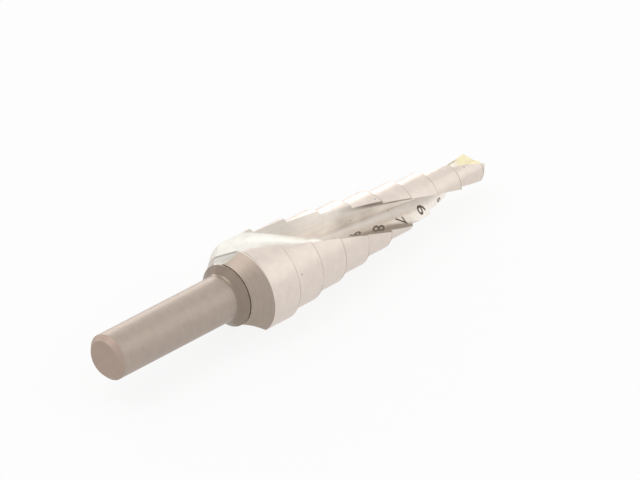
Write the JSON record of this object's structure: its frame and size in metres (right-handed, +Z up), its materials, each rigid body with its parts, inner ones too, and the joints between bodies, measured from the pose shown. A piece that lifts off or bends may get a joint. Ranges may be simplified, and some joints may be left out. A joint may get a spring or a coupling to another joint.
{
  "type": "step drill",
  "caption": "Spiral-fluted step drill for sheet metal: round shank, collar, back cone and a stepped cutting cone with relieved lands, lying at rest.",
  "frame": {"origin": "on the floor under the middle of the bounding box of the drill as it lies at rest", "axes": "+X along the drill towards the tip, which lies a little lower than the shank, +Z up, +Y to the left when looking along +X"},
  "size_m": [0.0662, 0.0116, 0.0109],
  "materials": {
    "steel": "bright ground high-speed steel on the lands and in the flutes, duller satin on the turned shank, collar and back cone"
  },
  "bodies": {
    "root": {"step_drill": "steel"}
  },
  "joints": []
}
